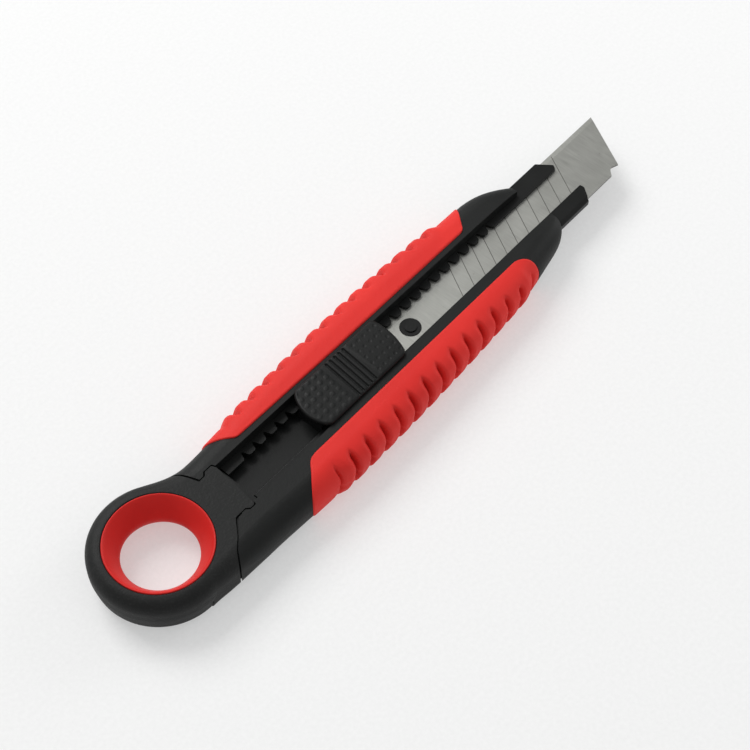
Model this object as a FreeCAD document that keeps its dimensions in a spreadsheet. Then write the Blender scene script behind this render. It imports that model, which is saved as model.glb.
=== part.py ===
import FreeCAD, Part
import math
import os
import Sketcher

# Snap-off blade utility knife with a ring end cap.
# Design frame: the blade runs along X with its tip towards +X and its cutting edge towards +Y.
# Z = 0 is the blade's top face and X = 0 is the centre of the hole in the blade.
# Every finished piece is then placed so that the row frame stands on the table, centred under the knife.

DOCUMENT = "snap_off_knife"
PARTS_FOLDER = "parts"

# Driving dimensions in millimetres: alias, value, what it is.
DIMENSIONS = [
    ("frame_x", 9.65, "design frame to row frame, along the knife"),
    ("frame_y", -0.7735, "design frame to row frame, across the knife"),
    ("frame_z", 8.8, "height of the blade's top face above the table"),
    ("body_top", 4.0, "top of the black shell"),
    ("body_bottom", 8.8, "depth of the shell below the blade's top face"),
    ("grip_proud", 0.9, "how far the lobed rubber stands out of the shell at the sides"),
    ("grip_rise", 0.45, "how far the rubber stands above the shell"),
    ("grip_thickness", 2.0, "rubber thickness measured in from the shell's outer face"),
    ("base_trim", 0.05, "how far the skins reach below the flat underside before it is cut"),
    ("core_round", 1.4, "how much less the core under the rubber is rounded"),
    ("near_edge", 9.2, "border between the black rim and the rubber on the spine side"),
    ("far_edge_rear", 8.85, "that border on the cutting-edge side, at its rear end"),
    ("far_edge_middle_x", -20.0, "where that border bends"),
    ("far_edge_middle", 8.2, "that border at the bend"),
    ("far_edge_front", 8.05, "that border at its front end"),
    ("lobe_pitch", 6.1, "spacing of the lobes along the rubber"),
    ("lobe_groove", 1.4, "radius of the groove between two lobes"),
    ("lobe_depth", 1.0, "depth of that groove"),
    ("lobe_lean", 0.35, "lean of that groove, run along the knife per millimetre of height"),
    ("far_lobe_rear", -52.6, "rearmost groove on the cutting-edge side"),
    ("near_lobe_rear", -49.8, "rearmost groove on the spine side"),
    ("slot_half", 7.2, "half width of the thumb slot at its rear end"),
    ("slot_front", 50.0, "where the slot stops narrowing"),
    ("slot_far_front", 6.35, "half width there towards the cutting edge"),
    ("slot_near_front", 5.8, "half width there towards the spine"),
    ("slot_rear", -69.6, "rear end of the thumb slot"),
    ("ring_x", -93.1, "centre of the ring"),
    ("ring_y", 2.36, "centre of the ring across the knife"),
    ("ring_r", 18.5, "outer radius of the ring"),
    ("ring_round", 3.8, "rounding of the ring's outer edges"),
    ("ring_low_round", 3.3, "rounding of the ring's lower outer edge"),
    ("ring_taper", 1.1, "how far the ring's side draws in towards the table"),
    ("ring_side_r", 9.0, "rounding of the ring's side at its widest"),
    ("ring_bore_round", 0.3, "rounding of the bore's edges"),
    ("neck_bore_gap", 0.4, "how much wider the neck is bored than the ring"),
    ("ring_bore", 14.3, "bore of the black ring"),
    ("ring_rib", 0.8, "rib inside the ring's bore that holds the liner"),
    ("ring_rib_width", 2.0, "width of that rib"),
    ("liner_rim_r", 14.1, "outer radius of the liner's rim"),
    ("liner_mouth_r", 13.5, "inner radius of the liner at its rims"),
    ("liner_throat_r", 10.0, "radius of the liner's throat"),
    ("liner_throat_half", 1.5, "half length of the straight throat"),
    ("liner_rise", 0.3, "how far the liner stands above the ring"),
    ("liner_inset", 0.1, "how far the liner's lower rim lies above the table"),
    ("liner_flare", 1.8, "height of the turn from the throat into a mouth"),
    ("liner_turn_r", 4.0, "rounding of that turn"),
    ("liner_rim_round", 0.9, "rounding inside the rims"),
    ("liner_rim_step", 0.4, "height over which the rims draw in from the bore"),
    ("liner_rim_high", 1.2, "height of the rims"),
    ("mid_z", -2.4, "middle of the shell's thickness"),
    ("latch_front", -68.35, "front edge of the cap's latch tongue"),
    ("latch_head_rear", -70.8, "back of the latch tongue's wider head"),
    ("latch_neck_rear", -73.9, "rear end of the latch tongue's neck"),
    ("latch_head_half", 7.9, "half width of the latch tongue's head"),
    ("latch_neck_half", 7.0, "half width of the latch tongue's neck"),
    ("latch_thickness", 2.3, "thickness of the latch tongue"),
    ("seam_gap", 0.5, "shadow gap between the cap and the shell"),
    ("seam_depth", 0.6, "depth of that shadow gap"),
    ("latch_gap", 0.3, "gap round the latch tongue"),
    ("plug_front", -66.4, "front end of the cap's plug"),
    ("plug_half", 8.4, "half width of the cap's plug"),
    ("plug_top", -1.0, "top of the cap's plug"),
    ("plug_bottom", 6.4, "depth of the plug below the blade's top face"),
    ("fit_gap", 0.15, "clearance round parts that are pushed together"),
    ("channel_rear", -66.6, "rear end of the shell's channel"),
    ("arm_fold", 1.0, "chamfer along the track's upper edge towards the spine"),
    ("track_rear", -66.2, "rear end of the blade track"),
    ("track_front", 70.2, "front end of the blade track"),
    ("track_half", 9.7, "half width of the blade track"),
    ("track_bottom", 2.35, "depth of the track below the blade's top face"),
    ("track_floor", 1.7, "depth of the track's floor"),
    ("track_ledge_in", 7.5, "inner edge of the ledges that carry the blade"),
    ("track_ledge", 0.55, "depth of the ledges"),
    ("track_wall_in", 9.1, "inner face of the track's side walls"),
    ("lip_under", 0.08, "underside of the track's lips"),
    ("lip_top", 0.95, "top of the track's lips"),
    ("near_lip", 4.6, "edge of the lip over the blade's spine"),
    ("far_lip", 4.2, "plain edge of the lip over the cutting edge"),
    ("tooth_tip_y", 4.15, "tips of the rack teeth"),
    ("tooth_pitch", 4.13, "rack pitch"),
    ("tooth_depth", 2.1, "rack tooth height"),
    ("tooth_root_half", 0.62, "half width of the gap between two teeth, halfway up"),
    ("tooth_flank_run", 0.38, "how much a tooth's flank leans over half its height"),
    ("tooth_tip_r", 0.9, "rounding of the tooth tips"),
    ("tooth_root_r", 0.2, "rounding of the tooth roots"),
    ("first_root", 39.915, "foremost tooth root"),
    ("blade_half", 9.0, "half width of the blade"),
    ("blade_thick", 0.5, "blade thickness"),
    ("blade_tip", 92.3, "acute tip of the blade"),
    ("blade_length", 101.3, "length of the cutting edge"),
    ("blade_slant", 0.5543, "run of the slanted ends per millimetre of width"),
    ("score_pitch", 4.82, "distance between score lines"),
    ("score_front", 73.0, "foremost score line at the cutting edge"),
    ("score_width", 0.24, "width of a score line"),
    ("score_depth", 0.12, "depth of a score line"),
    ("hole_r", 3.05, "radius of the hole in the blade"),
    ("hole_y", -0.3, "offset of that hole from the middle"),
    ("notch_start", 3.9, "rear end of the notch at the spine's front corner, from that corner"),
    ("notch_depth", 2.1, "depth of that notch"),
    ("notch_r", 1.3, "rounding of that notch"),
    ("bevel_width", 1.5, "width of the ground cutting edge"),
    ("peg_r", 2.95, "radius of the carrier's peg"),
    ("peg_tip_r", 1.75, "radius of the raised middle of the peg"),
    ("peg_top", 0.15, "top of the peg's shoulder"),
    ("peg_tip_top", 0.5, "top of the peg's raised middle"),
    ("carrier_rear", -40.2, "rear end of the blade carrier"),
    ("carrier_front", 4.8, "front end of the carrier's tongue"),
    ("carrier_half", 7.3, "half width of the carrier's tongue"),
    ("carrier_block_front", -9.2, "front end of the carrier's block"),
    ("carrier_seat_front", -20.6, "front end of the carrier at blade level"),
    ("carrier_top", 2.2, "top of the carrier's block"),
    ("carrier_far", 3.7, "far face of the block, clear of the rack"),
    ("carrier_near", 4.4, "near face of the block, clear of the lip"),
    ("spring_y", 2.6, "outer face of the lock spring's straight ends"),
    ("spring_t", 0.4, "thickness of the lock spring"),
    ("spring_peak", 5.3, "outer face of the lock spring's tooth"),
    ("spring_rear", -37.0, "rear end of the lock spring"),
    ("spring_front", -11.0, "front end of the lock spring"),
    ("spring_tooth_foot", 1.0, "half width of the lock spring's tooth at its foot"),
    ("spring_tooth_tip", 0.4, "half width of that tooth at its tip"),
    ("spring_tooth_x", -22.035, "middle of the lock spring's tooth"),
    ("spring_under", 0.16, "lower edge of the lock spring"),
    ("spring_width", 0.74, "height of the lock spring's strip"),
    ("pad_rear", -41.8, "rear end of the thumb pad"),
    ("pad_front", -7.2, "front end of the thumb pad"),
    ("pad_half", 7.1, "half width of the thumb pad"),
    ("pad_under", 4.2, "underside of the thumb pad's overhanging top"),
    ("pad_top", 5.3, "top of the thumb pad"),
    ("pad_bulge", 2.2, "how far the pad's ends bulge"),
    ("pad_block_half", 5.55, "half width of the pad between the rims"),
    ("pad_block_under", 2.35, "underside of the pad's block"),
    ("pad_leg_half", 1.3, "half width of the pad's legs"),
    ("pad_barb_half", 1.7, "half width of the legs' barbed ends"),
    ("barb_top", 0.55, "top of the barbed ends"),
    ("barb_low", -1.2, "lower end of the legs"),
    ("pad_leg_long", 3.4, "length of a leg along the knife"),
    ("pad_leg_rear", -35.2, "middle of the rear leg"),
    ("pad_leg_front", -18.0, "middle of the front leg"),
    ("pad_play", 0.95, "free play of the legs in their slots"),
    ("finger_gap", 2.2, "from the spring tooth's middle to each release finger of the pad"),
    ("finger_long", 0.9, "length of a release finger along the knife"),
    ("finger_in", 2.75, "inner face of the release fingers"),
    ("finger_out", 3.6, "outer face of the release fingers, clear of the rack"),
    ("pad_groove_first", -20.8, "foremost groove across the pad"),
    ("pad_groove_pitch", 1.76, "spacing of those grooves"),
    ("pad_groove_r", 0.34, "radius of those grooves"),
]

# Stations of the shell's skin: alias stem, X, half width towards the cutting edge, half width towards
# the spine, height of the top, depth of the underside and rounding of the section.
STATIONS = [
    ("ring", -93.1, 20.75, 16.05, 4.0, 8.8, 3.9),
    ("cap_rear", -88.0, 20.2, 16.45, 4.0, 8.8, 4.2),
    ("cap_shoulder", -84.0, 18.75, 16.8, 4.0, 8.8, 4.6),
    ("cap_neck", -80.0, 16.85, 17.1, 4.0, 8.8, 5.2),
    ("waist_rear", -75.0, 15.2, 17.4, 4.0, 8.8, 5.7),
    ("waist", -69.0, 14.9, 17.55, 4.0, 8.8, 5.8),
    ("grip_rear", -60.0, 15.5, 17.95, 4.0, 8.8, 5.8),
    ("palm_rear", -43.0, 16.9, 18.4, 4.0, 8.8, 5.8),
    ("palm", -10.0, 18.0, 17.75, 4.0, 8.8, 5.8),
    ("palm_front", 20.0, 17.3, 16.5, 4.0, 8.8, 5.8),
    ("shoulder", 35.0, 16.5, 15.3, 3.98, 8.6, 5.7),
    ("nose_rear", 44.0, 15.75, 13.6, 3.8, 7.9, 5.3),
    ("nose_middle", 49.8, 13.4, 12.3, 3.4, 6.9, 4.6),
    ("nose", 54.3, 10.3, 9.75, 2.6, 4.9, 3.4),
]
FIRST_GRIP_STATION = "waist_rear"
LAST_CAP_STATION = "waist"
LAST_GRIP_STATION = "nose_rear"
TOOTH_COUNT = 25
SCORE_COUNT = 11
PAD_GROOVE_COUNT = 5
FAR_LOBE_COUNT = 13
NEAR_LOBE_COUNT = 14
ABOVE = 9.0
BELOW = 12.0


class Size:
    """A dimension with its value and the spreadsheet expression that gives it."""

    def __init__(self, value, text):
        self.value = float(value)
        self.text = text

    def __add__(self, other):
        other = as_size(other)
        return Size(self.value + other.value, f"({self.text} + {other.text})")

    def __radd__(self, other):
        return as_size(other) + self

    def __sub__(self, other):
        other = as_size(other)
        return Size(self.value - other.value, f"({self.text} - {other.text})")

    def __rsub__(self, other):
        return as_size(other) - self

    def __mul__(self, other):
        other = as_size(other)
        return Size(self.value * other.value, f"({self.text} * {other.text})")

    def __rmul__(self, other):
        return as_size(other) * self

    def __neg__(self):
        return Size(-self.value, f"(0 - {self.text})")


def as_size(number):
    if isinstance(number, Size):
        return number
    return Size(number, f"({number})")


def make_sheet(doc):
    """Writes the dimensions and returns them by alias."""
    sheet = doc.addObject("Spreadsheet::Sheet", "sheet")
    rows = list(DIMENSIONS)
    for stem, *values in STATIONS:
        for word, value in zip(("x", "far", "near", "top", "bottom", "corner"), values):
            rows.append((f"{stem}_station_{word}", value, f"shell section: {word}"))
    sizes = {}
    for number, (alias, value, note) in enumerate(rows, start=1):
        sheet.set(f"A{number}", note)
        sheet.set(f"B{number}", str(value))
        sheet.setAlias(f"B{number}", alias)
        sizes[alias] = Size(value, f"sheet.{alias}")
    doc.recompute()
    return sizes


doc = FreeCAD.newDocument(DOCUMENT)
size = make_sheet(doc)


def dim(alias):
    return size[alias]


def plane_of(body, role):
    """One of the body's own origin planes, by role."""
    for feature in body.Origin.OriginFeatures:
        if feature.Role == role:
            return feature
    raise RuntimeError(f"no {role} in {body.Name}")


def new_body(name):
    body = doc.addObject("PartDesign::Body", name)
    body.Label = name
    return body


def new_sketch(body, name, role, offset=0.0):
    """An empty sketch on an origin plane, moved along the plane's normal by offset."""
    sketch = body.newObject("Sketcher::SketchObject", name)
    sketch.AttachmentSupport = [(plane_of(body, role), "")]
    sketch.MapMode = "FlatFace"
    offset = as_size(offset)
    sketch.AttachmentOffset = FreeCAD.Placement(FreeCAD.Vector(0, 0, offset.value), FreeCAD.Rotation())
    sketch.setExpression("AttachmentOffset.Base.z", offset.text)
    return sketch


class Constraints:
    """Gathers a sketch's constraints, adds them together and binds the driving ones to the sheet."""

    def __init__(self, sketch):
        self.sketch = sketch
        self.first = sketch.ConstraintCount
        self.items = []
        self.texts = {}

    def join(self, kind, *where):
        self.items.append(Sketcher.Constraint(kind, *where))

    def drive(self, kind, *where_and_size):
        *where, amount = where_and_size
        amount = as_size(amount)
        self.texts[self.first + len(self.items)] = amount.text
        self.items.append(Sketcher.Constraint(kind, *where, amount.value))

    def pin(self, geometry, position, x, y):
        """Fixes a sketch point at x, y from the sketch's origin."""
        self.drive("DistanceX", -1, 1, geometry, position, x)
        self.drive("DistanceY", -1, 1, geometry, position, y)

    def add(self):
        self.sketch.addConstraint(self.items)
        for index, text in self.texts.items():
            self.sketch.setExpression(f"Constraints[{index}]", text)


def corner_arc(here, before, after, radius):
    """The arc that rounds a corner, where it enters and leaves, and whether it turns to the left."""
    back = (before - here).normalize()
    ahead = (after - here).normalize()
    half_angle = back.getAngle(ahead) / 2
    reach = radius / math.tan(half_angle)
    centre = here + (back + ahead).normalize() * (radius / math.sin(half_angle))
    enter = here + back * reach
    leave = here + ahead * reach
    turns_left = back.cross(ahead).z < 0
    first, last = (enter, leave) if turns_left else (leave, enter)
    start = math.atan2(first.y - centre.y, first.x - centre.x)
    end = math.atan2(last.y - centre.y, last.x - centre.x)
    if end < start:
        end += 2 * math.pi
    circle_of_arc = Part.Circle(centre, FreeCAD.Vector(0, 0, 1), radius)
    return Part.ArcOfCircle(circle_of_arc, start, end), enter, leave, turns_left


def rounded_outline(sketch, corners):
    """A closed outline through corners (x, y, radius); a radius makes the corner a tangent arc."""
    count = len(corners)
    points = [FreeCAD.Vector(as_size(x).value, as_size(y).value, 0) for x, y, _ in corners]
    enters = list(points)
    leaves = list(points)
    arcs = {}
    turns_left = {}
    for i, (_, _, radius) in enumerate(corners):
        if radius is not None:
            rounded = corner_arc(points[i], points[i - 1], points[(i + 1) % count], as_size(radius).value)
            arcs[i], enters[i], leaves[i], turns_left[i] = rounded
    shapes = [Part.LineSegment(leaves[i], enters[(i + 1) % count]) for i in range(count)]
    arc_index = {}
    for i, arc in arcs.items():
        arc_index[i] = len(shapes)
        shapes.append(arc)
    sketch.addGeometry(shapes, False)
    corner_index = {}
    for i in arcs:
        corner_index[i] = sketch.addGeometry(Part.Point(points[i]), True)
    constraints = Constraints(sketch)
    for i, (x, y, radius) in enumerate(corners):
        before = (i - 1) % count
        if radius is None:
            constraints.join("Coincident", before, 2, i, 1)
            constraints.pin(i, 1, x, y)
            continue
        arc = arc_index[i]
        arc_in, arc_out = (1, 2) if turns_left[i] else (2, 1)
        constraints.join("Tangent", before, 2, arc, arc_in)
        constraints.join("Tangent", arc, arc_out, i, 1)
        constraints.drive("Radius", arc, radius)
        constraints.join("PointOnObject", corner_index[i], 1, before)
        constraints.join("PointOnObject", corner_index[i], 1, i)
        constraints.pin(corner_index[i], 1, x, y)
    constraints.add()
    return sketch


def rectangle(x0, x1, y0, y1):
    return [(x0, y0, None), (x1, y0, None), (x1, y1, None), (x0, y1, None)]


def circle(sketch, x, y, radius):
    """A circle bound to the sheet."""
    centre = FreeCAD.Vector(as_size(x).value, as_size(y).value, 0)
    index = sketch.addGeometry(Part.Circle(centre, FreeCAD.Vector(0, 0, 1), as_size(radius).value), False)
    constraints = Constraints(sketch)
    constraints.pin(index, 3, x, y)
    constraints.drive("Radius", index, radius)
    constraints.add()
    return sketch


def pad(body, name, sketch, length):
    """Extrudes a sketch along its normal."""
    feature = body.newObject("PartDesign::Pad", name)
    feature.Profile = sketch
    feature.Length = as_size(length).value
    feature.setExpression("Length", as_size(length).text)
    sketch.Visibility = False
    return feature


def pocket(body, name, sketch, length):
    """Cuts a sketch along its normal, towards positive values."""
    feature = body.newObject("PartDesign::Pocket", name)
    feature.Profile = sketch
    feature.Reversed = True
    feature.Length = as_size(length).value
    feature.setExpression("Length", as_size(length).text)
    sketch.Visibility = False
    return feature


def pad_between(body, name, corners, low, high):
    """A plan outline extruded from one height to another."""
    sketch = rounded_outline(new_sketch(body, f"{name}_sketch", "XY_Plane", low), corners)
    return pad(body, name, sketch, as_size(high) - low)


def cut_between(body, name, corners, low, high):
    """A plan outline cut from one height to another."""
    sketch = rounded_outline(new_sketch(body, f"{name}_sketch", "XY_Plane", low), corners)
    return pocket(body, name, sketch, as_size(high) - low)


def block(name, corners, low=-BELOW, high=ABOVE):
    """A tool body: one plan outline extruded between two heights."""
    body = new_body(name)
    pad_between(body, f"{name}_pad", corners, low, high)
    return body


def row_of(body, name, feature, axis_role, length, count):
    """Repeats a feature evenly along an origin axis; length runs from the first to the last."""
    pattern = body.newObject("PartDesign::LinearPattern", name)
    pattern.Originals = [feature]
    axis = plane_of(body, axis_role)
    pattern.Direction = (axis, [""])
    length = as_size(length)
    pattern.Reversed = length.value < 0
    pattern.Length = abs(length.value)
    pattern.setExpression("Length", f"abs({length.text})")
    pattern.Occurrences = count
    body.Tip = pattern
    return pattern


def skin_loft(name, stems, outward, rise, sink, less_round):
    """A skin lofted through the rounded sections at the named stations, moved outward, up and down."""
    body = new_body(name)
    sketches = []
    for stem in stems:
        far = dim(f"{stem}_station_far") + outward
        near = -(dim(f"{stem}_station_near") + outward)
        top = dim(f"{stem}_station_top") + rise
        low = -(dim(f"{stem}_station_bottom") + sink)
        corner = dim(f"{stem}_station_corner") - less_round
        sketch = new_sketch(body, f"{name}_{stem}", "YZ_Plane", dim(f"{stem}_station_x"))
        corners = [(near, low, corner), (far, low, corner), (far, top, corner), (near, top, corner)]
        sketches.append(rounded_outline(sketch, corners))
    loft = body.newObject("PartDesign::AdditiveLoft", f"{name}_loft")
    loft.Profile = sketches[0]
    loft.Sections = sketches[1:]
    return body


def cut(name, base, *tools):
    """base minus tools."""
    tool = tools[0]
    if len(tools) > 1:
        tool = doc.addObject("Part::MultiFuse", f"{name}_tools")
        tool.Shapes = list(tools)
    feature = doc.addObject("Part::Cut", name)
    feature.Base = base
    feature.Tool = tool
    return feature


def common(name, *shapes):
    feature = doc.addObject("Part::MultiCommon", name)
    feature.Shapes = list(shapes)
    return feature


def fuse(name, *shapes):
    feature = doc.addObject("Part::MultiFuse", name)
    feature.Shapes = list(shapes)
    feature.Refine = True
    return feature


def primitive(kind, name, base, axis=None, **sizes):
    """A Part primitive whose sizes and place are bound to the sheet."""
    feature = doc.addObject(kind, name)
    for prop, amount in sizes.items():
        setattr(feature, prop, as_size(amount).value)
        feature.setExpression(prop, as_size(amount).text)
    rotation = FreeCAD.Rotation() if axis is None else FreeCAD.Rotation(FreeCAD.Vector(0, 0, 1), axis)
    put_at(feature, [as_size(value) for value in base], rotation)
    return feature


def put_at(feature, spot, rotation):
    """Places a feature and binds its place to the sheet."""
    feature.Placement = FreeCAD.Placement(FreeCAD.Vector(*[value.value for value in spot]), rotation)
    for letter, value in zip("xyz", spot):
        feature.setExpression(f"Placement.Base.{letter}", value.text)


finished = []


def finish_piece(feature, label, base=(0, 0, 0)):
    """Names a finished piece and places it in the row frame; base is its own origin in the design frame."""
    feature.Label = label
    spot = [as_size(value) + dim(f"frame_{letter}") for letter, value in zip("xyz", base)]
    put_at(feature, spot, FreeCAD.Rotation())
    finished.append(feature)


# ---------------------------------------------------------------- outlines seen from above

def seam_outline(gap):
    """The part of the plan that belongs to the ring cap, grown forwards by gap."""
    neck = dim("latch_neck_half") + gap
    return [
        (-125, -30, None),
        (-88.5 + gap, -30, None),
        (-85.3 + gap, -18, None),
        (-81.8 + gap, -13.5, 2.0),
        (-78.9 + gap, -11.1, 3.0),
        (-75.3 + gap, -neck, 1.0),
        (dim("latch_neck_rear") + gap, -neck, None),
        (dim("latch_neck_rear") + gap, neck, None),
        (-75.6 + gap, 12.0, None),
        (-77.3 + gap, 16.5, None),
        (-80.0 + gap, 30, None),
        (-125, 30, None),
    ]


def latch_outline(gap):
    """The cap's latch tongue: a neck with a wider, slightly skewed head that snaps behind two shoulders."""
    neck = dim("latch_neck_half") + gap
    head = dim("latch_head_half") + gap
    head_rear = dim("latch_head_rear") - gap
    front = dim("latch_front") + gap
    return [
        (dim("latch_neck_rear"), -neck, None),
        (head_rear - 0.9, -neck, None),
        (head_rear, -head, 0.4),
        (front - 1.0, -head, 0.4),
        (front - 0.75, -neck + 0.4, None),
        (front, 0, 40.0),
        (front + 0.45, neck - 0.4, None),
        (front - 0.1, head, 0.4),
        (head_rear, head, 0.4),
        (head_rear - 0.9, neck, None),
        (dim("latch_neck_rear"), neck, None),
    ]


def far_grip_outline():
    return [
        (-71.0, 24, None),
        (-64.6, 15.2, None),
        (-58.2, dim("far_edge_rear"), 3.0),
        (dim("far_edge_middle_x"), dim("far_edge_middle"), None),
        (32.3, dim("far_edge_front"), 3.0),
        (39.6, 17.0, None),
        (42.6, 24, None),
    ]


def near_grip_outline():
    edge = dim("near_edge")
    return [
        (-61.9, -24, None),
        (-59.5, -19, None),
        (-50.2, -edge, 5.0),
        (37.4, -edge, 6.0),
        (38.8, -24, None),
    ]


# ---------------------------------------------------------------- skins and cutting tools

all_stems = [station[0] for station in STATIONS]
grip_stems = all_stems[all_stems.index(FIRST_GRIP_STATION):all_stems.index(LAST_GRIP_STATION) + 1]
nothing = as_size(0)
core_drop = dim("grip_thickness") * 0.7
trim = dim("base_trim")
skin = skin_loft("skin", all_stems, nothing, nothing, trim, nothing)
grip_skin = skin_loft("grip_skin", grip_stems, dim("grip_proud"), dim("grip_rise"), trim, nothing)
core = skin_loft("core", grip_stems, -dim("grip_thickness"), -core_drop, -core_drop, dim("core_round"))
ground = block("ground", rectangle(-130, 80, -30, 30), -BELOW, -dim("body_bottom"))
far_zone = block("far_zone", far_grip_outline())
near_zone = block("near_zone", near_grip_outline())
far_pocket = cut("far_pocket", far_zone, core)
near_pocket = cut("near_pocket", near_zone, core)
cap_side = block("cap_side", seam_outline(0.0))
seam_inset = dim("seam_depth")
cap_stems = all_stems[:all_stems.index(LAST_CAP_STATION) + 1]
seam_core = skin_loft("seam_core", cap_stems, -seam_inset, -seam_inset, -seam_inset, seam_inset)
seam_groove = cut("seam_groove", block("seam_zone", seam_outline(dim("seam_gap"))), seam_core)
cap_clearance = block("cap_clearance", seam_outline(dim("fit_gap")))
latch_well = block("latch_well", latch_outline(dim("latch_gap")), dim("plug_top") + 0.2)


# ---------------------------------------------------------------- shell

def channel_cutter():
    """The straight channel that takes the blade track, open at the nose."""
    half = dim("track_half") + 0.05
    low = -(dim("track_bottom") + 0.05)
    return block("channel", rectangle(dim("channel_rear"), 80, -half, half), low, dim("lip_top") + 0.05)


def slot_cutter():
    """The thumb slot between the two rims, open at the nose."""
    half = dim("slot_half")
    rear = dim("slot_rear")
    front = dim("slot_front")
    return block("thumb_slot", [
        (rear, -half, None),
        (front, -dim("slot_near_front"), None),
        (80, -dim("slot_near_front"), None),
        (80, dim("slot_far_front"), None),
        (front, dim("slot_far_front"), None),
        (rear, half, None),
    ], dim("lip_top"))


def socket_cutter():
    """The socket that takes the cap's plug."""
    half = dim("plug_half") + dim("fit_gap")
    low = -(dim("plug_bottom") + dim("fit_gap"))
    high = dim("plug_top") + dim("fit_gap") + 0.1
    return block("socket", rectangle(-100, dim("plug_front") + dim("fit_gap"), -half, half), low, high)


housing = cut(
    "housing",
    skin,
    far_pocket,
    near_pocket,
    seam_groove,
    cap_clearance,
    latch_well,
    channel_cutter(),
    slot_cutter(),
    socket_cutter(),
    ground,
)
finish_piece(housing, "housing")


# ---------------------------------------------------------------- rubber grips

def rubber_half_width(x, side):
    """Half width of the rubber at x, between the two nearest stations, as a sheet expression."""
    word = "far" if side > 0 else "near"
    stations = [station for station in STATIONS if station[0] in grip_stems]
    for first, second in zip(stations, stations[1:]):
        if first[1] <= x.value <= second[1]:
            share = (x.value - first[1]) / (second[1] - first[1])
            low = dim(f"{first[0]}_station_{word}")
            high = dim(f"{second[0]}_station_{word}")
            return low + (high - low) * share + dim("grip_proud")
    raise ValueError(f"{x.value} is outside the rubber")


def lobe_grooves(name, first, count, side):
    """Leaning round grooves that divide one side of the rubber into lobes."""
    tools = []
    for number in range(count):
        middle = dim(first) + dim("lobe_pitch") * number
        across = rubber_half_width(middle, side) + dim("lobe_groove") - dim("lobe_depth")
        foot = middle - dim("lobe_lean") * (BELOW + dim("mid_z").value)
        groove = primitive(
            "Part::Cylinder",
            f"{name}_{number}",
            (foot, across * side, -BELOW),
            FreeCAD.Vector(dim("lobe_lean").value, 0, 1),
            Radius=dim("lobe_groove"),
            Height=BELOW + ABOVE,
        )
        tools.append(groove)
    return tools


far_form = common("far_form", grip_skin, far_zone)
near_form = common("near_form", grip_skin, near_zone)
far_grooves = lobe_grooves("far_groove", "far_lobe_rear", FAR_LOBE_COUNT, 1)
near_grooves = lobe_grooves("near_groove", "near_lobe_rear", NEAR_LOBE_COUNT, -1)
grip_far = cut("grip_far", far_form, core, ground, *far_grooves)
grip_near = cut("grip_near", near_form, core, ground, *near_grooves)
finish_piece(grip_far, "grip_far")
finish_piece(grip_near, "grip_near")


# ---------------------------------------------------------------- ring cap, latch and liner

def ring_body():
    """The ring: a rounded section turned about its own axis, with a rib in its bore."""
    body = new_body("ring")
    sketch = new_sketch(body, "ring_section", "XZ_Plane")
    bore = dim("ring_bore")
    outer = dim("ring_r")
    rib = dim("ring_rib_width") * 0.5
    middle = dim("mid_z")
    top = dim("body_top")
    low = -dim("body_bottom")
    corners = [
        (bore, low, dim("ring_bore_round")),
        (outer - dim("ring_taper"), low, dim("ring_low_round")),
        (outer, middle, dim("ring_side_r")),
        (outer, top, dim("ring_round")),
        (bore, top, dim("ring_bore_round")),
        (bore, middle + rib, None),
        (bore - dim("ring_rib"), middle + rib, None),
        (bore - dim("ring_rib"), middle - rib, None),
        (bore, middle - rib, None),
    ]
    rounded_outline(sketch, corners)
    turn = body.newObject("PartDesign::Revolution", "ring_turn")
    turn.Profile = sketch
    turn.ReferenceAxis = (sketch, ["V_Axis"])
    turn.Angle = 360
    place_at_ring(body)
    return body


def place_at_ring(feature):
    feature.Placement.Base = FreeCAD.Vector(dim("ring_x").value, dim("ring_y").value, 0)
    feature.setExpression("Placement.Base.x", dim("ring_x").text)
    feature.setExpression("Placement.Base.y", dim("ring_y").text)


def ring_hole(name, radius):
    """A cylinder through the ring, for boring it out."""
    return primitive(
        "Part::Cylinder",
        name,
        (dim("ring_x"), dim("ring_y"), -BELOW),
        Radius=radius,
        Height=BELOW + ABOVE,
    )


def plug_body():
    """The plug that fills the shell's rear socket, with a rounded front edge."""
    half = dim("plug_half")
    return block("plug", [
        (-77.0, -half, None),
        (dim("plug_front"), -half, 1.2),
        (dim("plug_front"), half, 1.2),
        (-77.0, half, None),
    ], -dim("plug_bottom"), dim("plug_top"))


def ring_cap():
    """Ring, neck and plug, moulded in one."""
    neck = common("cap_neck", skin, cap_side)
    neck_hole = ring_hole("neck_bore", dim("ring_bore") + dim("neck_bore_gap"))
    neck_bored = cut("cap_neck_bored", neck, neck_hole, ground)
    joined = fuse("cap_solid", neck_bored, ring_body(), plug_body())
    return cut("ring_cap", joined, latch_space())


def latch_space():
    """Room over the plug for the latch tongue."""
    half = dim("latch_head_half") + 1
    rear = dim("latch_neck_rear")
    return block("latch_space", rectangle(rear, rear + 8, -half, half), dim("plug_top"))


def latch():
    """The springy tongue that snaps the cap to the shell, flush with the shell's top."""
    body = new_body("cap_latch")
    top = dim("body_top")
    pad_between(body, "latch_tongue", latch_outline(0.0), top - dim("latch_thickness"), top)
    return body


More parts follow.
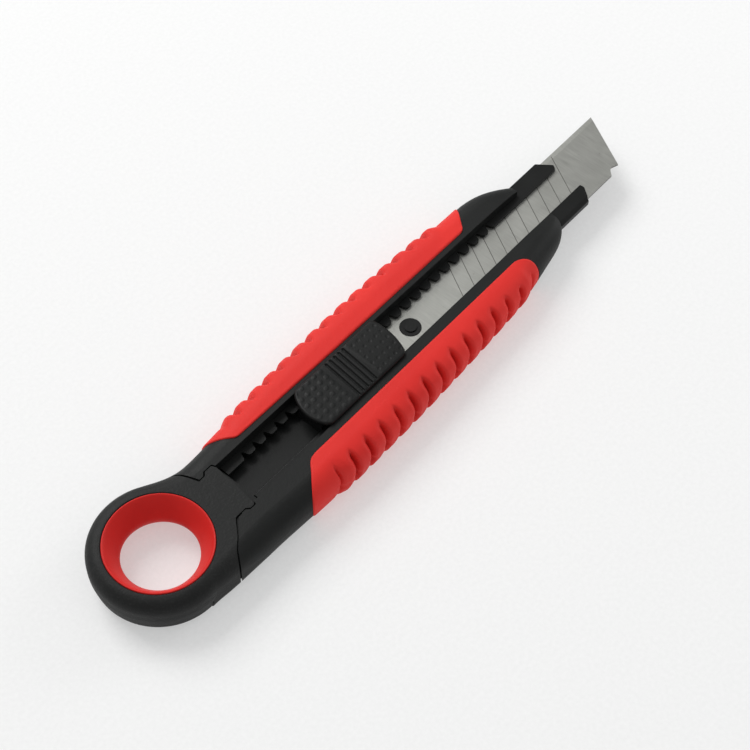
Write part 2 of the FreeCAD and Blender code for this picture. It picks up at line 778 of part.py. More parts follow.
def liner():
    """The ring's rubber liner: a straight throat with two flared mouths."""
    body = new_body("ring_liner")
    sketch = new_sketch(body, "liner_section", "XZ_Plane")
    bore = dim("ring_bore")
    rib = dim("ring_rib_width") * 0.5
    middle = dim("mid_z")
    top = dim("body_top") + dim("liner_rise")
    low = dim("liner_inset") - dim("body_bottom")
    throat = dim("liner_throat_r")
    turn_at = dim("liner_throat_half") + dim("liner_flare")
    turn_round = dim("liner_turn_r")
    mouth = dim("liner_mouth_r")
    mouth_round = dim("liner_rim_round")
    rim = dim("liner_rim_r")
    rim_round = 0.2
    high = dim("liner_rim_high")
    step = high + dim("liner_rim_step")
    corners = [
        (throat, middle - turn_at, turn_round),
        (mouth, low, mouth_round),
        (rim, low, rim_round),
        (rim, low + high, None),
        (bore, low + step, None),
        (bore, middle - rib, None),
        (bore - dim("ring_rib"), middle - rib, None),
        (bore - dim("ring_rib"), middle + rib, None),
        (bore, middle + rib, None),
        (bore, top - step, None),
        (rim, top - high, None),
        (rim, top, rim_round),
        (mouth, top, mouth_round),
        (throat, middle + turn_at, turn_round),
    ]
    rounded_outline(sketch, corners)
    turn = body.newObject("PartDesign::Revolution", "liner_turn")
    turn.Profile = sketch
    turn.ReferenceAxis = (sketch, ["V_Axis"])
    turn.Angle = 360
    return body


end_cap = ring_cap()
finish_piece(end_cap, "end_cap")
finish_piece(latch(), "cap_latch")
finish_piece(liner(), "ring_liner", (dim("ring_x"), dim("ring_y"), 0))


# ---------------------------------------------------------------- blade track

def track():
    """The channel that guides the blade: floor, ledges, side walls, and two lips, one with the rack."""
    body = new_body("blade_track")
    half = dim("track_half")
    wall = dim("track_wall_in")
    ledge_in = dim("track_ledge_in")
    under = dim("lip_under")
    top = dim("lip_top")
    floor = -dim("track_floor")
    ledge = -dim("track_ledge")
    section = new_sketch(body, "track_section", "YZ_Plane", dim("track_rear"))
    rounded_outline(section, [
        (-half, -dim("track_bottom"), 0.8),
        (half, -dim("track_bottom"), 0.8),
        (half, top, 0.3),
        (dim("far_lip"), top, None),
        (dim("far_lip"), under, None),
        (wall, under, None),
        (wall, ledge, None),
        (ledge_in, ledge, None),
        (ledge_in, floor, None),
        (-ledge_in, floor, None),
        (-ledge_in, ledge, None),
        (-wall, ledge, None),
        (-wall, under, None),
        (-dim("near_lip"), under, None),
        (-dim("near_lip"), top, 0.3),
        (-half + dim("arm_fold"), top, 0.3),
        (-half, top - dim("arm_fold"), 0.5),
    ])
    pad(body, "track_pad", section, dim("track_front") - dim("track_rear"))
    cut_between(body, "track_tips", [
        (dim("track_front") - 3.7, 10.5, None),
        (dim("track_front") - 3.6, 9.6, None),
        (dim("track_front") - 0.3, 5.4, 0.5),
        (dim("track_front") - 1.6, 3.6, 0.8),
        (dim("track_front") - 3.2, 3.4, None),
        (dim("track_front") - 3.2, -4.4, None),
        (dim("track_front") - 1.1, -4.6, 0.7),
        (dim("track_front") - 1.0, -6.1, 0.8),
        (dim("track_front") - 3.3, -9.2, None),
        (dim("track_front") - 3.5, -10.5, None),
        (dim("track_front") + 2, -10.5, None),
        (dim("track_front") + 2, 10.5, None),
    ], -BELOW, ABOVE)
    last = rack(body)
    body.Tip = last
    return body


def rack(body):
    """Rounded teeth along the edge of the lip over the cutting edge."""
    sketch = new_sketch(body, "tooth_root", "XY_Plane", 0.0)
    middle = dim("first_root")
    half = dim("tooth_pitch") * 0.5 + 0.02
    tip = dim("tooth_tip_y")
    root = dim("tooth_depth") + tip
    open_half = dim("tooth_root_half") + dim("tooth_flank_run")
    root_half = dim("tooth_root_half") - dim("tooth_flank_run")
    tip_round = dim("tooth_tip_r")
    root_round = dim("tooth_root_r")
    rounded_outline(sketch, [
        (middle - half, tip - 1, None),
        (middle - half, tip, None),
        (middle - open_half, tip, tip_round),
        (middle - root_half, root, root_round),
        (middle + root_half, root, root_round),
        (middle + open_half, tip, tip_round),
        (middle + half, tip, None),
        (middle + half, tip - 1, None),
    ])
    root_cut = pocket(body, "tooth_root_cut", sketch, dim("lip_top") + 0.5)
    travel = -(dim("tooth_pitch") * (TOOTH_COUNT - 1))
    return row_of(body, "rack_teeth", root_cut, "X_Axis", travel, TOOTH_COUNT)


finish_piece(track(), "blade_track")


# ---------------------------------------------------------------- blade

def blade():
    """A segmented blade with slanted ends, score lines, a bevelled edge and a hole."""
    body = new_body("snap_blade")
    half = dim("blade_half")
    tip = dim("blade_tip")
    rear = tip - dim("blade_length")
    run = dim("blade_slant") * (half * 2)
    pad_between(body, "blade_sheet", [
        (rear, half, None),
        (rear - run, -half, None),
        (tip - run - dim("notch_start"), -half, None),
        (tip - run - 1.9, -half + dim("notch_depth"), dim("notch_r")),
        (tip - run + 0.7, -half + 1.15, None),
        (tip, half, None),
    ], -dim("blade_thick"), 0.0)
    hole = new_sketch(body, "blade_hole_sketch", "XY_Plane", -1.0)
    circle(hole, 0.0, dim("hole_y"), dim("hole_r"))
    pocket(body, "blade_hole", hole, 2.0)
    bevel = new_sketch(body, "bevel_sketch", "YZ_Plane", rear - 1)
    rounded_outline(bevel, [
        (half - dim("bevel_width"), 0.01, None),
        (half + 0.2, 0.01, None),
        (half + 0.2, -0.22, None),
        (half, -0.2, None),
    ])
    pocket(body, "bevel_cut", bevel, dim("blade_length") + 2)
    score_half = dim("score_width") * 0.5
    slant = dim("blade_slant") * (half * 2)
    front = dim("score_front")
    score = cut_between(body, "score_cut", [
        (front - score_half, half, None),
        (front - score_half - slant, -half, None),
        (front + score_half - slant, -half, None),
        (front + score_half, half, None),
    ], -dim("score_depth"), 1.0)
    travel = -(dim("score_pitch") * (SCORE_COUNT - 1))
    row_of(body, "score_lines", score, "X_Axis", travel, SCORE_COUNT)
    return body


finish_piece(blade(), "snap_blade")


# ---------------------------------------------------------------- carrier and lock spring

def carrier():
    """The slide under the pad: a tongue below the blade with the peg, a seat at its level, a block above."""
    body = new_body("blade_carrier")
    rear = dim("carrier_rear")
    tongue = -dim("track_ledge")
    half = dim("carrier_half")
    under = -(dim("track_floor") - 0.08)
    pad_between(body, "tongue", [
        (rear, -half, 1.0),
        (dim("carrier_front"), -half, 3.0),
        (dim("carrier_front"), half, 3.0),
        (rear, half, 1.0),
    ], under, tongue)
    seat = dim("track_wall_in") - 0.15
    seat_front = dim("carrier_seat_front")
    seat_low = tongue + 0.04
    seat_high = -0.01
    block_low = 0.1
    pad_between(body, "seat", rectangle(rear, seat_front, -seat, seat), seat_low, seat_high)
    pad_between(body, "seat_root", rectangle(rear, seat_front, -half, half), tongue, seat_low)
    far = dim("carrier_far")
    near = dim("carrier_near")
    front = dim("carrier_block_front")
    pad_between(body, "block_rear", rectangle(rear, seat_front, -near, far), seat_high, block_low)
    pad_between(body, "block", rectangle(rear, front, -near, far), block_low, dim("carrier_top"))
    peg = new_sketch(body, "peg_sketch", "XY_Plane", tongue)
    circle(peg, 0.0, dim("hole_y"), dim("peg_r"))
    pad(body, "peg", peg, dim("peg_top") - tongue)
    tip = new_sketch(body, "peg_tip_sketch", "XY_Plane", dim("peg_top"))
    circle(tip, 0.0, dim("hole_y"), dim("peg_tip_r"))
    pad(body, "peg_tip", tip, dim("peg_tip_top") - dim("peg_top"))
    spring_room = rectangle(
        dim("spring_rear"), dim("spring_front"), dim("spring_y") - dim("spring_t"), far + 1,
    )
    cut_between(body, "spring_room", spring_room, dim("spring_under") - 0.03, dim("carrier_top") - 0.6)
    reach = dim("finger_gap") + dim("finger_long") + dim("pad_play") + 0.1
    tooth = dim("spring_tooth_x")
    finger_room = rectangle(tooth - reach, tooth + reach, dim("finger_in") - 0.1, far + 1)
    cut_between(body, "finger_room", finger_room, dim("spring_under") - 0.03, dim("carrier_top") + 1)
    for word in ("rear", "front"):
        middle = dim(f"pad_leg_{word}")
        reach = dim("pad_leg_long") * 0.5 + dim("pad_play")
        narrow = dim("pad_leg_half") + 0.12
        wide = dim("pad_barb_half") + 0.12
        slot = rectangle(middle - reach, middle + reach, -narrow, narrow)
        room = rectangle(middle - reach, middle + reach, -wide, wide)
        cut_between(body, f"leg_slot_{word}", slot, -BELOW, ABOVE)
        cut_between(body, f"barb_room_{word}", room, -BELOW, dim("barb_top") + 0.2)
    return body


def lock_spring():
    """A leaf spring on edge with one rounded tooth that drops into the rack."""
    body = new_body("lock_spring")
    outer = dim("spring_y")
    inner = outer - dim("spring_t")
    peak = dim("spring_peak")
    middle = dim("spring_tooth_x")
    pad_between(body, "leaf", [
        (dim("spring_rear"), inner, None),
        (dim("spring_front"), inner, None),
        (dim("spring_front"), outer, None),
        (middle + dim("spring_tooth_foot"), outer, 0.3),
        (middle + dim("spring_tooth_tip"), peak, 0.3),
        (middle - dim("spring_tooth_tip"), peak, 0.3),
        (middle - dim("spring_tooth_foot"), outer, 0.3),
        (dim("spring_rear"), outer, None),
    ], dim("spring_under"), dim("spring_under") + dim("spring_width"))
    return body


finish_piece(carrier(), "blade_carrier")
finish_piece(lock_spring(), "lock_spring")


# ---------------------------------------------------------------- thumb pad

def thumb_pad():
    """The pad the thumb pushes: an overhanging top, a block between the rims and two barbed legs."""
    body = new_body("thumb_pad")
    rear = dim("pad_rear")
    front = dim("pad_front")
    half = dim("pad_half")
    bulge = dim("pad_bulge")
    block_half = dim("pad_block_half")
    pad_between(body, "pad_block", [
        (rear + bulge, -block_half, 1.5),
        (front - bulge, -block_half, 1.5),
        (front - bulge + 1.0, 0, 12.0),
        (front - bulge, block_half, 1.5),
        (rear + bulge, block_half, 1.5),
        (rear + 0.6, 0, 12.0),
    ], dim("pad_block_under"), dim("pad_under") + 0.1)
    pad_between(body, "pad_top_plate", [
        (rear + bulge, -half, 1.2),
        (front - bulge * 0.6, -half, 1.2),
        (front + 0.2, 0, 16.0),
        (front - bulge * 0.6, half, 1.2),
        (rear + bulge, half, 1.2),
        (rear - 0.3, 0, 12.0),
    ], dim("pad_under"), dim("pad_top"))
    for word in ("rear", "front"):
        middle = dim(f"pad_leg_{word}")
        reach = dim("pad_leg_long") * 0.5
        leg = dim("pad_leg_half")
        barb = dim("pad_barb_half")
        leg_plan = rectangle(middle - reach, middle + reach, -leg, leg)
        barb_plan = rectangle(middle - reach, middle + reach, -barb, barb)
        pad_between(body, f"leg_{word}", leg_plan, dim("barb_low"), dim("pad_block_under"))
        pad_between(body, f"barb_{word}", barb_plan, dim("barb_low"), dim("barb_top"))
    tooth = dim("spring_tooth_x")
    near_end = dim("finger_gap")
    far_end = near_end + dim("finger_long")
    finger_in = dim("finger_in")
    finger_out = dim("finger_out")
    for word, side in (("rear", -1), ("front", 1)):
        outline = rectangle(tooth + near_end * side, tooth + far_end * side, finger_in, finger_out)
        pad_between(body, f"finger_{word}", outline, dim("spring_under") + 0.05, dim("pad_block_under"))
    groove_sketch = new_sketch(body, "pad_groove_sketch", "XZ_Plane", -half - 1)
    circle(groove_sketch, dim("pad_groove_first"), dim("pad_top") + 0.04, dim("pad_groove_r"))
    groove = pocket(body, "pad_groove", groove_sketch, (half + 1) * 2)
    travel = -(dim("pad_groove_pitch") * (PAD_GROOVE_COUNT - 1))
    row_of(body, "pad_grooves", groove, "X_Axis", travel, PAD_GROOVE_COUNT)
    return body


finish_piece(thumb_pad(), "thumb_pad")


# ---------------------------------------------------------------- checks and export

def check_document():
    """Stops if any feature failed or any finished piece isn't a sound solid."""
    doc.recompute()
    for item in doc.Objects:
        if "Invalid" in item.State or "Error" in item.State:
            raise RuntimeError(f"{item.Name} failed: {item.State}")
    for piece in finished:
        shape = piece.Shape
        if shape.isNull() or not shape.isValid() or not shape.Solids:
            raise RuntimeError(f"{piece.Label} has no valid solid")


def export_pieces():
    os.makedirs(PARTS_FOLDER, exist_ok=True)
    for piece in finished:
        piece.Shape.exportStep(os.path.join(PARTS_FOLDER, f"{piece.Label}.step"))
        print(f"{piece.Label}: {len(piece.Shape.Solids)} solid, {piece.Shape.Volume:.1f} mm3")


check_document()
export_pieces()
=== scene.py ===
"""A snap-off blade knife with a ring end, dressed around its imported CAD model."""
import math

import bpy
import numpy as np
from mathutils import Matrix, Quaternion, Vector


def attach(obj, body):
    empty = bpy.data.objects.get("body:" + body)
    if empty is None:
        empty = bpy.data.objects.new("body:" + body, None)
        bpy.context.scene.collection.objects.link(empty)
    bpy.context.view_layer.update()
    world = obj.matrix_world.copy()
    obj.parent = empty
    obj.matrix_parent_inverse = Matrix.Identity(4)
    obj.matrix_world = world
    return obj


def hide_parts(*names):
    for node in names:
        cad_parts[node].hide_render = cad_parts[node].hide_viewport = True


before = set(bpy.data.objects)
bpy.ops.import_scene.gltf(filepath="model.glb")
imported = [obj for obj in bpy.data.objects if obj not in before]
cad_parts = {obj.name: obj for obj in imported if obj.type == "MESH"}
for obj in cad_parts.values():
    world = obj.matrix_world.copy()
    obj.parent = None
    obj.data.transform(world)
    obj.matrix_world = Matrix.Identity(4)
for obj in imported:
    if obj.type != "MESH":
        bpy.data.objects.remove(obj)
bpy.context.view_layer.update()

MM = 0.001
# The knife frame's origin in the row frame, in millimetres.
# The shapes below are given in the knife frame.
ORIGIN = np.array([9.65, -0.7735, 8.8])


# ---------------------------------------------------------------- mesh helpers

def to_row(points):
    """Points of the knife frame, in millimetres, as row-frame points in metres."""
    return (np.asarray(points, dtype=float) + ORIGIN) * MM


def make_mesh(name, points, faces, material, body, nodes):
    """A smooth-shaded mesh piece that rides on a body and stands for the named CAD nodes."""
    mesh = bpy.data.meshes.new(name)
    mesh.from_pydata([tuple(p) for p in to_row(points)], [], faces)
    mesh.validate()
    mesh.shade_smooth()
    mesh.materials.append(material)
    piece = bpy.data.objects.new(name, mesh)
    bpy.context.scene.collection.objects.link(piece)
    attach(piece, body)
    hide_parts(*nodes)


def grid_faces(columns, rows, start=0, flip=False, wrap=False):
    """Quads over a grid whose points are numbered column by column; wrap joins its borders."""
    faces = []
    for i in range(columns if wrap else columns - 1):
        for j in range(rows if wrap else rows - 1):
            a = start + i * rows + j
            b = start + (i + 1) % columns * rows + j
            c = start + (i + 1) % columns * rows + (j + 1) % rows
            d = start + i * rows + (j + 1) % rows
            faces.append((d, c, b, a) if flip else (a, b, c, d))
    return faces


def border_of(columns, rows):
    """The grid's outer loop of point numbers."""
    loop = [i * rows for i in range(columns)]
    loop += [(columns - 1) * rows + j for j in range(1, rows)]
    loop += [i * rows + rows - 1 for i in range(columns - 2, -1, -1)]
    loop += [j for j in range(rows - 2, 0, -1)]
    return loop


def smooth_step(low, high, value):
    """0 below low, 1 above high, and a smooth turn between."""
    t = np.clip((value - low) / (high - low), 0.0, 1.0)
    return t * t * (3 - 2 * t)


def spaced(parts):
    """Numbers along a line from (start, end, count) stretches that follow one another."""
    values = []
    for start, end, count in parts:
        values.extend(np.linspace(start, end, count, endpoint=False))
    values.append(parts[-1][1])
    return np.array(values)


# ---------------------------------------------------------------- materials

def node(tree, kind, x, y, **values):
    """A new shader node at a place in the node editor, with attributes set."""
    item = tree.nodes.new(kind)
    item.location = (x, y)
    for key, value in values.items():
        setattr(item, key, value)
    return item


def noise(tree, scale, detail, roughness, y, stretch=None, distortion=0.0):
    """A noise texture in object coordinates. Its scale is in features per metre."""
    place = node(tree, "ShaderNodeTexCoord", -1400, y)
    mapping = node(tree, "ShaderNodeMapping", -1200, y)
    if stretch:
        mapping.inputs["Scale"].default_value = stretch
    texture = node(tree, "ShaderNodeTexNoise", -1000, y)
    texture.inputs["Scale"].default_value = scale
    texture.inputs["Detail"].default_value = detail
    texture.inputs["Roughness"].default_value = roughness
    texture.inputs["Distortion"].default_value = distortion
    tree.links.new(place.outputs["Object"], mapping.inputs["Vector"])
    tree.links.new(mapping.outputs["Vector"], texture.inputs["Vector"])
    return texture.outputs["Fac"]


def ramp(tree, source, stops, x, y):
    """A colour ramp with (position, colour) stops."""
    item = node(tree, "ShaderNodeValToRGB", x, y)
    elements = item.color_ramp.elements
    while len(elements) < len(stops):
        elements.new(0.5)
    for element, (position, colour) in zip(elements, stops):
        element.position = position
        element.color = (*colour, 1.0)
    tree.links.new(source, item.inputs["Fac"])
    return item.outputs["Color"]


def spread(tree, source, low, high, to_low, to_high, x, y):
    """A number moved from one range to another."""
    item = node(tree, "ShaderNodeMapRange", x, y)
    item.inputs["From Min"].default_value = low
    item.inputs["From Max"].default_value = high
    item.inputs["To Min"].default_value = to_low
    item.inputs["To Max"].default_value = to_high
    tree.links.new(source, item.inputs["Value"])
    return item.outputs["Result"]


def arithmetic(tree, operation, first, second, x, y):
    """The result of a Math node; each input is a socket or a number."""
    item = node(tree, "ShaderNodeMath", x, y, operation=operation)
    for index, value in enumerate((first, second)):
        if isinstance(value, (int, float)):
            item.inputs[index].default_value = value
        else:
            tree.links.new(value, item.inputs[index])
    return item.outputs["Value"]


def mixed(tree, factor, first, second, x, y, blend="MIX"):
    """Two colours mixed by a socket or a number."""
    item = node(tree, "ShaderNodeMix", x, y, data_type="RGBA", blend_type=blend)
    for key, value in ((0, factor), (6, first), (7, second)):
        if isinstance(value, (int, float)):
            item.inputs[key].default_value = value
        elif isinstance(value, tuple):
            item.inputs[key].default_value = (*value, 1.0)
        else:
            tree.links.new(value, item.inputs[key])
    return item.outputs[2]


def bumped(tree, height, strength, distance):
    """The surface normal, bumped by a height; the distance is in metres."""
    item = node(tree, "ShaderNodeBump", -250, -300)
    item.inputs["Strength"].default_value = strength
    item.inputs["Distance"].default_value = distance
    tree.links.new(height, item.inputs["Height"])
    return item.outputs["Normal"]


def grey(value):
    return (value, value, value)


def new_material(name, metallic=0.0, level=0.5):
    """An empty node material and its Principled shader."""
    material = bpy.data.materials.new(name)
    material.use_nodes = True
    shader = material.node_tree.nodes["Principled BSDF"]
    shader.inputs["Metallic"].default_value = metallic
    shader.inputs["Specular IOR Level"].default_value = level
    return material, material.node_tree, shader


def moulded(name, dark, light, rough, grain, depth, mottle, level, fleck=0.0):
    """Moulded plastic or rubber: soft mottling, a spark-eroded grain, a roughness that wanders.

    Grain and mottle are in features per metre, depth is the grain's height in metres, and fleck
    is how much brighter the grain's peaks are.
    """
    broad_scale = 0.31
    broad_share = 0.8
    fine_share = 0.5
    smoother, rougher = 0.06, 0.07
    material, tree, shader = new_material(name, level=level)
    soft = noise(tree, mottle, 4.0, 0.55, 300)
    fine = noise(tree, grain, 3.0, 0.6, 0)
    broad = noise(tree, grain * broad_scale, 2.0, 0.5, -300)
    colour = ramp(tree, soft, [(0.32, dark), (0.68, light)], -700, 300)
    if fleck:
        specks = ramp(tree, fine, [(0.52, grey(1.0)), (0.74, grey(1.0 + fleck))], -700, 80)
        colour = mixed(tree, 1.0, colour, specks, -450, 250, blend="MULTIPLY")
    tree.links.new(colour, shader.inputs["Base Color"])
    part = arithmetic(tree, "MULTIPLY", fine, fine_share, -700, -100)
    wander = arithmetic(tree, "ADD", soft, part, -500, -60)
    roughness = spread(tree, wander, 0.55, 0.95, rough - smoother, rough + rougher, -300, -60)
    tree.links.new(roughness, shader.inputs["Roughness"])
    part = arithmetic(tree, "MULTIPLY", broad, broad_share, -700, -300)
    height = arithmetic(tree, "ADD", fine, part, -500, -300)
    tree.links.new(bumped(tree, height, 1.0, depth), shader.inputs["Normal"])
    return material


grip_red = moulded("grip_rubber", (0.680, 0.022, 0.018), (0.760, 0.029, 0.023),
                   rough=0.56, grain=2600.0, depth=0.000045, mottle=45.0, level=0.22)
liner_red = moulded("liner_rubber", (0.600, 0.018, 0.015), (0.680, 0.024, 0.020),
                    rough=0.50, grain=2400.0, depth=0.00003, mottle=60.0, level=0.22)
shell_black = moulded("shell_plastic", (0.0074, 0.0082, 0.0079), (0.0100, 0.0109, 0.0106),
                      rough=0.50, grain=3300.0, depth=0.00004, mottle=50.0, level=0.20)
cap_black = moulded("cap_plastic", (0.0078, 0.0083, 0.0081), (0.0125, 0.0131, 0.0129),
                    rough=0.56, grain=1900.0, depth=0.00009, mottle=90.0, level=0.22, fleck=0.9)
track_black = moulded("track_plastic", (0.0060, 0.0066, 0.0064), (0.0085, 0.0092, 0.0089),
                      rough=0.40, grain=2900.0, depth=0.00002, mottle=70.0, level=0.20)
carrier_black = moulded("carrier_plastic", (0.0065, 0.0070, 0.0068), (0.0100, 0.0106, 0.0104),
                        rough=0.44, grain=2600.0, depth=0.00003, mottle=80.0, level=0.20)
pad_black = moulded("pad_plastic", (0.0052, 0.0057, 0.0055), (0.0078, 0.0084, 0.0082),
                    rough=0.46, grain=3000.0, depth=0.00003, mottle=70.0, level=0.20)


def brushed_steel():
    """Satin blade steel, ground across its length, with faint stains, rubbed marks and painted
    shade in its score lines.
    """
    # The darker steel painted as shade onto upright faces and into the score lines' floor.
    painted_shade_steel = (0.16, 0.158, 0.150)
    upright_below = 0.5
    level_above = 0.9995
    below_face = 0.06
    material, tree, shader = new_material("blade_steel", metallic=1.0)
    grind = noise(tree, 900.0, 3.0, 0.6, 300, stretch=(4.0, 0.16, 1.0))
    cloud = noise(tree, 55.0, 5.0, 0.6, 0, distortion=0.4)
    speck = noise(tree, 700.0, 4.0, 0.7, -300)
    base = ramp(tree, cloud, [(0.30, (0.355, 0.358, 0.335)), (0.70, (0.425, 0.428, 0.402))],
                -700, 0)
    lines = ramp(tree, grind, [(0.30, grey(0.90)), (0.70, grey(1.06))], -700, 300)
    spots = ramp(tree, speck, [(0.66, grey(1.0)), (0.80, (0.72, 0.71, 0.68))], -700, -300)
    colour = mixed(tree, 1.0, base, lines, -400, 150, blend="MULTIPLY")
    colour = mixed(tree, 1.0, colour, spots, -250, 100, blend="MULTIPLY")
    # Painted shade in the score lines and on the snapped edges: their upright walls and their
    # floor below the face are coloured a darker steel that stands in for the shade there.
    geometry = node(tree, "ShaderNodeNewGeometry", -1400, -600)
    facing = node(tree, "ShaderNodeSeparateXYZ", -1200, -600)
    tree.links.new(geometry.outputs["True Normal"], facing.inputs["Vector"])
    place = node(tree, "ShaderNodeTexCoord", -1400, -800)
    height = node(tree, "ShaderNodeSeparateXYZ", -1200, -800)
    tree.links.new(place.outputs["Object"], height.inputs["Vector"])
    face_up = facing.outputs["Z"]
    upright_face = arithmetic(tree, "LESS_THAN", face_up, upright_below, -1000, -600)
    level_face = arithmetic(tree, "GREATER_THAN", face_up, level_above, -1000, -750)
    sunk = arithmetic(tree, "LESS_THAN", height.outputs["Z"], (ORIGIN[2] - below_face) * MM,
                      -1000, -900)
    score_floor = arithmetic(tree, "MULTIPLY", level_face, sunk, -800, -800)
    painted_shade_mask = arithmetic(tree, "MAXIMUM", upright_face, score_floor, -600, -700)
    # Painted shade: upright faces and score-line floors take the darker steel.
    colour = mixed(tree, painted_shade_mask, colour, painted_shade_steel, -100, 100)
    tree.links.new(colour, shader.inputs["Base Color"])
    roughness = spread(tree, grind, 0.3, 0.7, 0.36, 0.50, -400, -100)
    tree.links.new(roughness, shader.inputs["Roughness"])
    tree.links.new(bumped(tree, grind, 0.6, 0.000006), shader.inputs["Normal"])
    return material


def spring_metal():
    """Drawn spring steel, a little brighter than the blade."""
    material, tree, shader = new_material("spring_steel", metallic=1.0)
    draw = noise(tree, 1200.0, 2.0, 0.5, 300, stretch=(0.1, 3.0, 3.0))
    cloud = noise(tree, 300.0, 3.0, 0.5, 0)
    colour = ramp(tree, cloud, [(0.3, (0.40, 0.40, 0.39)), (0.7, (0.55, 0.55, 0.54))], -700, 0)
    tree.links.new(colour, shader.inputs["Base Color"])
    roughness = spread(tree, draw, 0.3, 0.7, 0.24, 0.40, -400, -100)
    tree.links.new(roughness, shader.inputs["Roughness"])
    tree.links.new(bumped(tree, draw, 0.5, 0.000004), shader.inputs["Normal"])
    return material


blade_steel = brushed_steel()
spring_steel = spring_metal()


def dress(name, material):
    """Gives a carried-over CAD node its material."""
    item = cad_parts[name]
    if not item.data.materials:
        item.data.materials.append(material)
    for place in item.material_slots:
        place.material = material


dress("housing", shell_black)
# The shell's long thin facets shade evenly when large faces lead the shared normals.
even_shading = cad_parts["housing"].modifiers.new("even_shading", "WEIGHTED_NORMAL")
even_shading.keep_sharp = True
dress("blade_track", track_black)
dress("end_cap", cap_black)
dress("cap_latch", cap_black)
dress("blade_carrier", carrier_black)
dress("lock_spring", spring_steel)
dress("snap_blade", blade_steel)


# ---------------------------------------------------------------- rubber grips

# The knife's cross-sections that the grips follow: X, half width towards the cutting edge, half
# width towards the spine, top, depth of the underside, rounding.
SECTIONS = np.array([
    (-80.0, 16.9, 17.15, 4.0, 8.8, 5.2),
    (-75.0, 15.2, 17.4, 4.0, 8.8, 5.7),
    (-69.0, 14.9, 17.55, 4.0, 8.8, 5.8),
    (-60.0, 15.5, 17.95, 4.0, 8.8, 5.8),
    (-43.0, 16.9, 18.4, 4.0, 8.8, 5.8),
    (-10.0, 18.0, 17.75, 4.0, 8.8, 5.8),
    (20.0, 17.3, 16.5, 4.0, 8.8, 5.8),
    (35.0, 16.5, 15.3, 3.98, 8.6, 5.7),
    (44.0, 15.75, 13.6, 3.8, 7.9, 5.3),
    (49.8, 13.4, 12.3, 3.4, 6.9, 4.6),
])


def spline_through(x, y, at):
    """The natural cubic spline through (x, y), at the given places."""
    n = len(x)
    h = np.diff(x)
    system = np.eye(n)
    right = np.zeros(n)
    for i in range(1, n - 1):
        system[i, i - 1:i + 2] = (h[i - 1], 2 * (h[i - 1] + h[i]), h[i])
        right[i] = 3 * ((y[i + 1] - y[i]) / h[i] - (y[i] - y[i - 1]) / h[i - 1])
    c = np.linalg.solve(system, right)
    b = np.diff(y) / h - h * (2 * c[:-1] + c[1:]) / 3
    d = np.diff(c) / (3 * h)
    k = np.clip(np.searchsorted(x, at) - 1, 0, n - 2)
    t = at - x[k]
    return y[k] + t * (b[k] + t * (c[k] + t * d[k]))


def section_value(column, at):
    """One column of SECTIONS, at the given X."""
    return spline_through(SECTIONS[:, 0], SECTIONS[:, column], at)


# The rows of a grip's grid down its side: the last row of the flat top, of the upper rounding, of
# the wall and of the lower rounding, and the number of rows.
GRIP_ROWS = {"flat_top": 9, "arc_top": 37, "wall": 41, "arc_low": 57, "count": 63}
# Its columns, as shares of the grip's length: close together at both ends.
GRIP_COLUMNS = [(0.0, 0.006, 5), (0.006, 0.994, 500), (0.994, 1.0, 5)]
# The X of a row's two ends is found from a first guess, in this many halving steps.
END_GUESS = (-60.0, 40.0)
END_STEPS = 30
# How far the rubber's flat top stands over the sections.
TOP_LEVEL = 0.45
# The lowest point of the rubber, and how far its borders stay inside the edges of their recess.
GRIP_UNDER = -8.79
GRIP_EDGE = 0.03
# The border's rounding: its radius and how much of the drop is used. A distance measured along X
# counts for less, because the ends are slanted.
BORDER_ROUND = 0.45
BORDER_SHARE = 0.75
SLANT_SHARE = 0.75
# The rolled border's two lower loops: how deep they lie, and how far the last one keeps from the
# middle line.
SKIRT_SINKS = (0.6, 1.2)
CORE_SIDE = 10.9
# The last lobe's ribs end this share of a lobe beyond its notch.
RIB_MARGIN = 0.46
# Angles down the side, in degrees from the flat top: where the grooves start, where they grow
# shallower and where they fade out; where the creases start and fade out; where the skin leaves
# the level of the flat top, and where it meets the underside. Where a groove starts late, its
# full depth comes later too, by LATE_SHARE of that.
GROOVE_START = (13.0, 44.0)
GROOVE_EASE = (84.0, 128.0)
GROOVE_EASE_SHARE = 0.3
GROOVE_FADE = (128.0, 168.0)
LATE_SHARE = 0.7
CREASE_START = (16.0, 36.0)
CREASE_FADE = (86.0, 112.0)
CREASE_HALF = 0.09
TOP_BLEND = (4.0, 62.0)
UNDER_BLEND = (112.0, 172.0)
# The share of a lobe over which the crests rise at both ends of the row.
SWELL = (-0.05, 0.5)
# How far the grooves lean rearward down the side, by angle: almost straight over the top, then
# they hook back below.
LEAN_ANGLES = np.array([0.0, 25.0, 50.0, 75.0, 90.0, 101.0, 113.0, 130.0, 180.0])
LEANS = np.array([0.0, 0.05, 0.0, -0.05, 0.50, 1.25, 1.72, 1.76, 1.76])


def slanted_end(points, radius, rearward):
    """A grip's slanted end: its X at a distance from the middle line.

    It is an inner corner of the given radius, then straight lines through the points.
    """
    (x0, y0), (x1, y1) = points[0], points[1]
    sign = 1.0 if rearward else -1.0
    slope = abs((x1 - x0) / (y1 - y0))
    length = math.hypot(1.0, slope)
    # The rounding's centre lies one radius above the inner edge and one inside the slanted line.
    centre_y = y0 + radius
    centre_x = x0 + sign * (-slope * radius + radius * length)

    def at(distance):
        line_x = np.interp(distance, [p[1] for p in points], [p[0] for p in points])
        reach = np.clip(centre_y - distance, 0.0, radius)
        arc_x = centre_x - sign * np.sqrt(np.maximum(radius ** 2 - reach ** 2, 0.0))
        touch_y = centre_y - radius * slope / length
        return np.where(distance < touch_y, arc_x, line_x)

    return at


